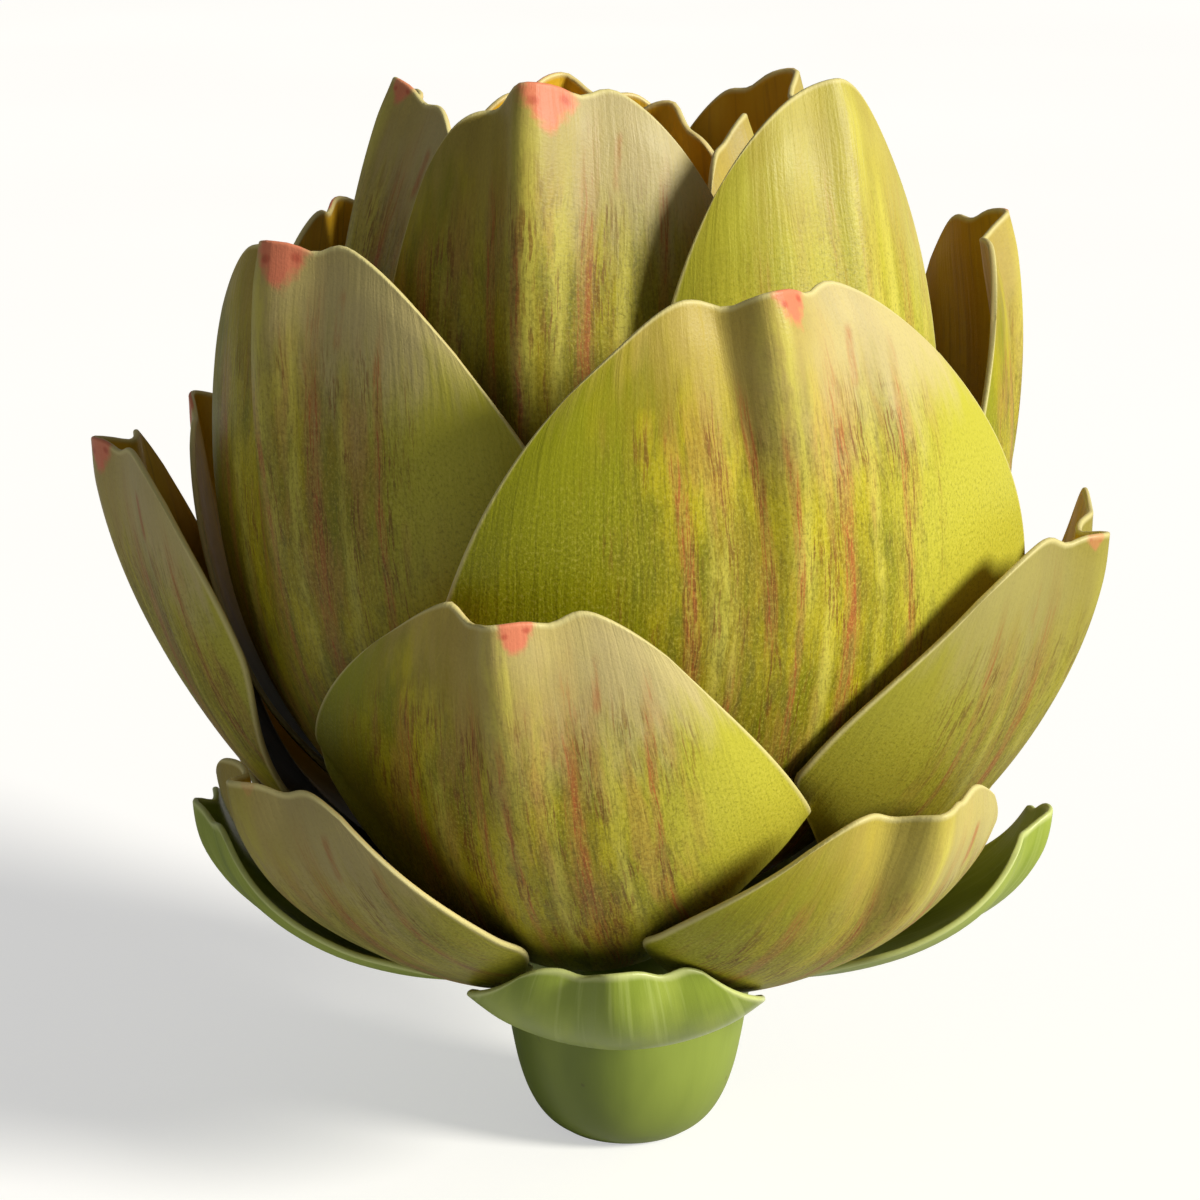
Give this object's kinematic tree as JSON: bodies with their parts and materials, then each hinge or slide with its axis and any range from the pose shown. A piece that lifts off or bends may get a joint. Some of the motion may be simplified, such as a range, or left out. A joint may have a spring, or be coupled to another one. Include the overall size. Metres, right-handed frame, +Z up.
{
  "type": "artichoke",
  "caption": "Globe artichoke head with wide open yellow-green bracts, red-brown streaks, pink tips and a short cut stem",
  "frame": {"origin": "centre of the small flat foot under the cut stem", "axes": "+Z up the stem to the tips, -Y the front of the head"},
  "size_m": [0.1059, 0.107, 0.1193],
  "materials": {
    "stem": "satin",
    "collar_leaf": "satin",
    "bract": "satin"
  },
  "bodies": {
    "root": {"stem_and_heart": "stem", "collar_leaf_1": "collar_leaf", "collar_leaf_2": "collar_leaf", "collar_leaf_3": "collar_leaf", "collar_leaf_4": "collar_leaf", "collar_leaf_5": "collar_leaf", "low_bract_1": "bract", "low_bract_2": "bract", "low_bract_3": "bract", "low_bract_4": "bract", "low_bract_5": "bract", "outer_bract_1": "bract", "outer_bract_2": "bract", "outer_bract_3": "bract", "outer_bract_4": "bract", "outer_bract_5": "bract", "middle_bract_1": "bract", "middle_bract_2": "bract", "middle_bract_3": "bract", "middle_bract_4": "bract", "middle_bract_5": "bract", "upper_bract_1": "bract", "upper_bract_2": "bract", "upper_bract_3": "bract", "upper_bract_4": "bract", "upper_bract_5": "bract", "inner_bract_1": "bract", "inner_bract_2": "bract", "inner_bract_3": "bract", "inner_bract_4": "bract", "inner_bract_5": "bract", "centre_bract_1": "bract", "centre_bract_2": "bract", "centre_bract_3": "bract"}
  },
  "joints": []
}
